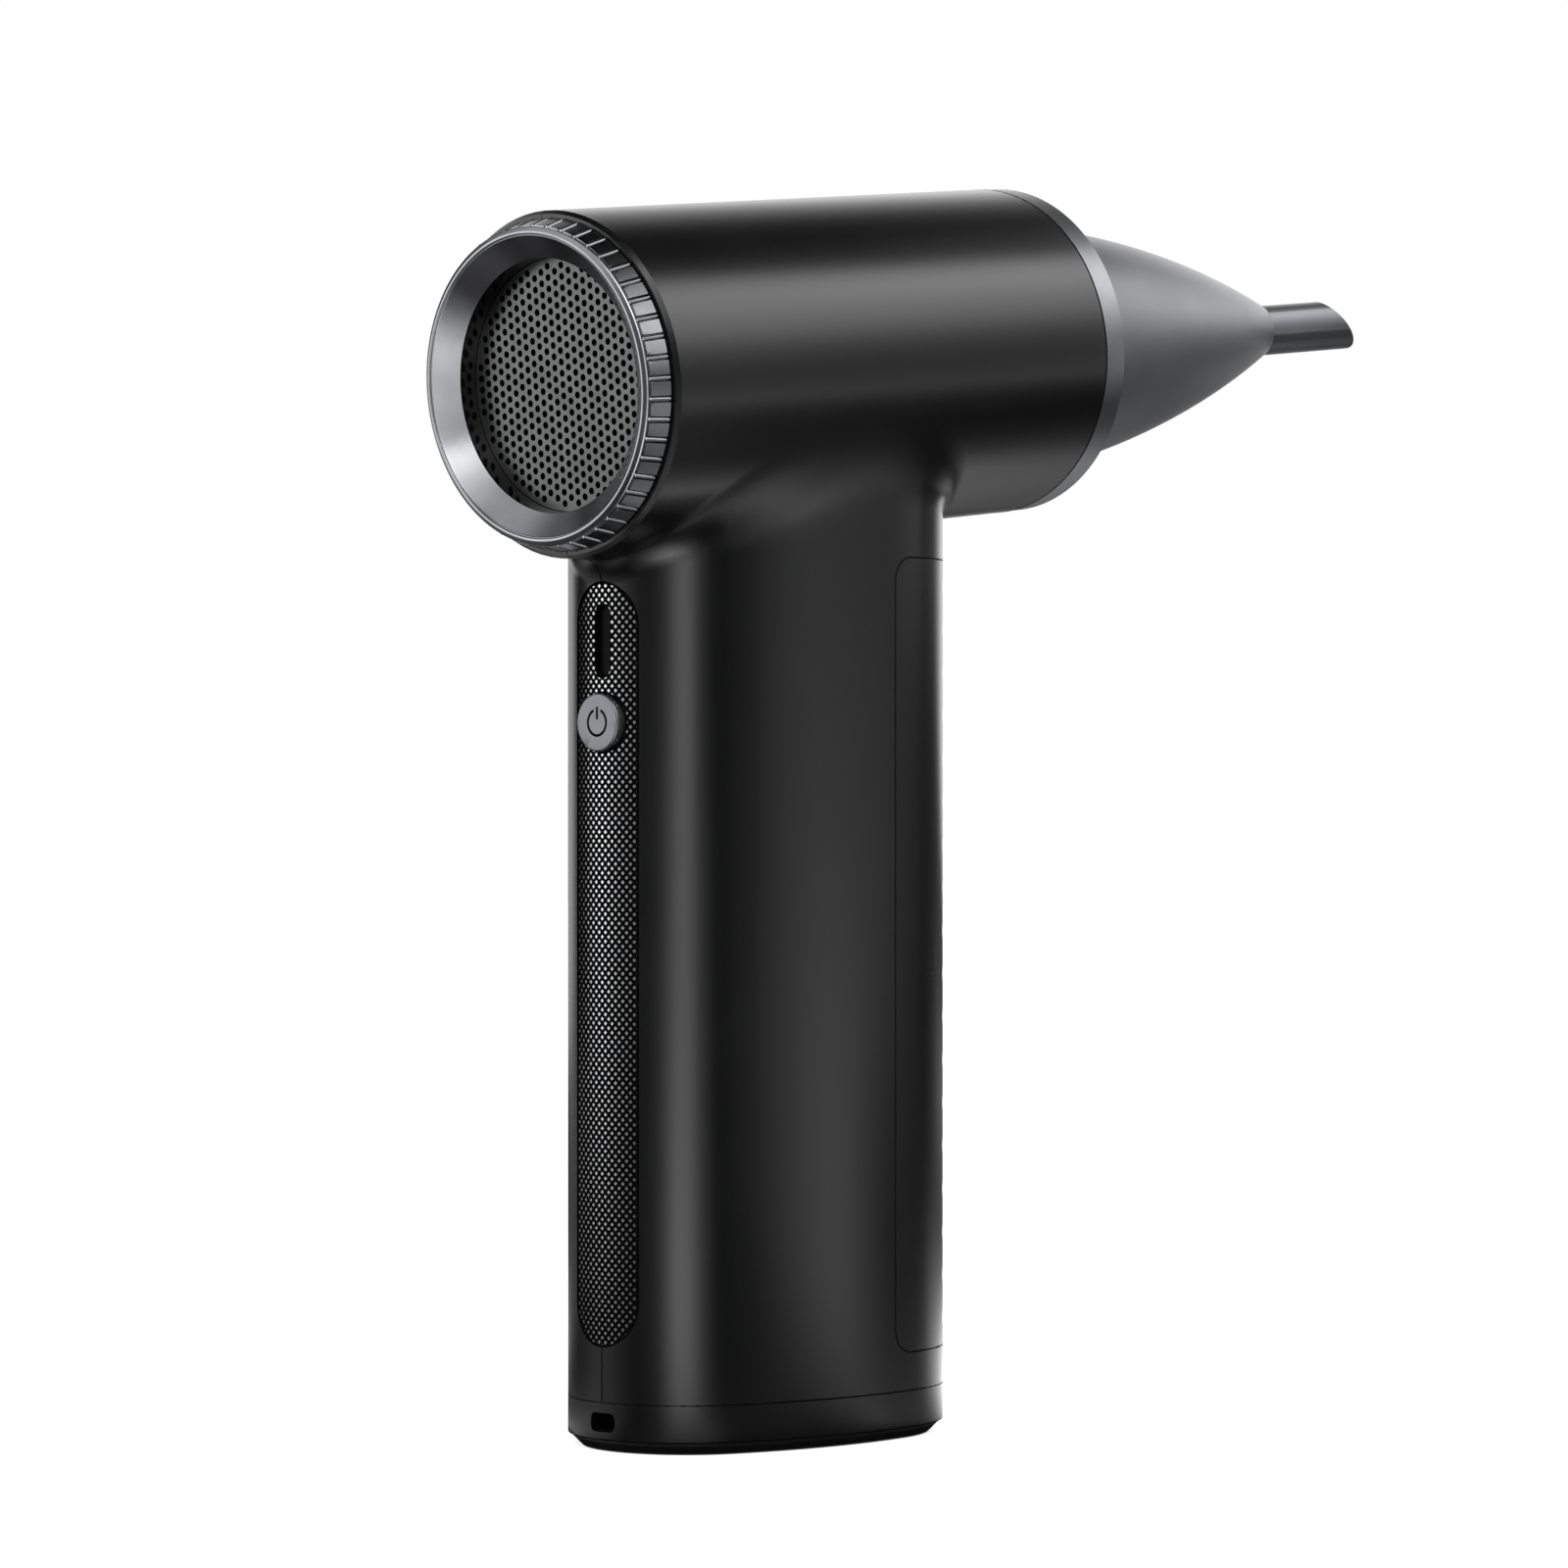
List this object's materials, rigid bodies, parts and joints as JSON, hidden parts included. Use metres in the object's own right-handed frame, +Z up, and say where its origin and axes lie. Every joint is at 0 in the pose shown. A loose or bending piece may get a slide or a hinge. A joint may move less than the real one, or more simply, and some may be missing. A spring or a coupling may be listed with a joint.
{
  "type": "handheld car dryer blower",
  "caption": "Pistol-shaped cordless air blower with a tilted barrel, knurled inlet ring, oval grip handle and a tapered nozzle with a slant-cut tip.",
  "frame": {"origin": "centre of the foot pad's flat underside, under the middle of the handle", "axes": "+Z up along the handle, +X forward towards the nozzle, +Y to the user's left; the barrel tilts 6 degrees nose-up"},
  "size_m": [0.2102, 0.056, 0.2115],
  "materials": {
    "housing_plastic": "satin black, finely grained",
    "ring_metal": "satin, turned",
    "mesh_metal": "fine punched sheet",
    "black_gloss": "glossy black",
    "button_metal": "satin grey",
    "tip_plastic": "smooth dark grey",
    "grip_rubber": "smooth black",
    "soft_rubber": "soft black",
    "smoked_glass": "smoked, clear",
    "lamp_white": "milky lamp body",
    "inner_plastic": "moulded, dark",
    "board_green": "green board varnish",
    "steel": "plain steel",
    "copper": "wound copper",
    "cell_sleeve": "blue shrink sleeve",
    "capacitor_can": "drawn can",
    "lead_sleeve": "silicone sleeve"
  },
  "bodies": {
    "housing": {"housing_left": "housing_plastic", "housing_right": "housing_plastic", "front_trim_ring": "ring_metal", "inlet_frame": "black_gloss", "inlet_mesh": "mesh_metal", "speed_sensor": "inner_plastic", "fan_shroud": "inner_plastic", "stator_core": "steel", "stator_coils": "copper", "rear_bearing": "steel", "front_bearing": "steel", "tail_cone": "inner_plastic", "rear_fan_mount": "soft_rubber", "front_fan_mount": "soft_rubber", "outlet_duct": "inner_plastic", "rear_strip": "black_gloss", "indicator_window": "smoked_glass", "indicator_lamps": "lamp_white", "control_board": "board_green", "button_switch": "inner_plastic", "power_transistors": "inner_plastic", "board_capacitor": "capacitor_can", "motor_connector": "inner_plastic", "motor_leads": "lead_sleeve", "battery_leads": "lead_sleeve", "battery_cells": "cell_sleeve", "cell_contacts": "steel", "cell_holder_lower": "inner_plastic", "cell_holder_upper": "inner_plastic", "charge_board": "board_green", "charge_socket": "black_gloss", "socket_tongue": "inner_plastic", "base_cap": "housing_plastic", "foot_pad": "grip_rubber", "grip_insert": "grip_rubber", "case_screws": "steel", "base_screws": "steel"},
    "speed_ring": {"speed_ring": "ring_metal", "ring_magnet": "steel"},
    "power_button": {"power_button": "button_metal", "switch_plunger": "inner_plastic"},
    "rotor": {"impeller": "inner_plastic", "rotor_shaft": "steel", "rotor_magnet": "steel"},
    "nozzle_retainer": {"nozzle_retaining_ring": "steel"},
    "nozzle": {"nozzle_cone": "housing_plastic", "nozzle_seal": "soft_rubber", "nozzle_tip": "tip_plastic"}
  },
  "joints": [
    {"name": "speed_ring_turn", "type": "hinge", "parent": "housing", "child": "speed_ring", "pos_m": [-0.045, 0, 0.1725], "axis": [0.9945, 0, 0.1045], "range_deg": [0, 150]},
    {"name": "power_button_press", "type": "slide", "parent": "housing", "child": "power_button", "axis": [1, 0, 0], "range_m": [0, 0.0005], "stiffness_N_per_m": 2000, "springref_m": -0.0002},
    {"name": "rotor_spin", "type": "hinge", "parent": "housing", "child": "rotor", "pos_m": [-0.045, 0, 0.1725], "axis": [0.9945, 0, 0.1045], "continuous": true},
    {"name": "nozzle_turn", "type": "hinge", "parent": "housing", "child": "nozzle_retainer", "pos_m": [-0.045, 0, 0.1725], "axis": [0.9945, 0, 0.1045], "continuous": true},
    {"name": "nozzle_pull", "type": "slide", "parent": "nozzle_retainer", "child": "nozzle", "axis": [0.9945, 0, 0.1045], "range_m": [0, 0.016]}
  ]
}
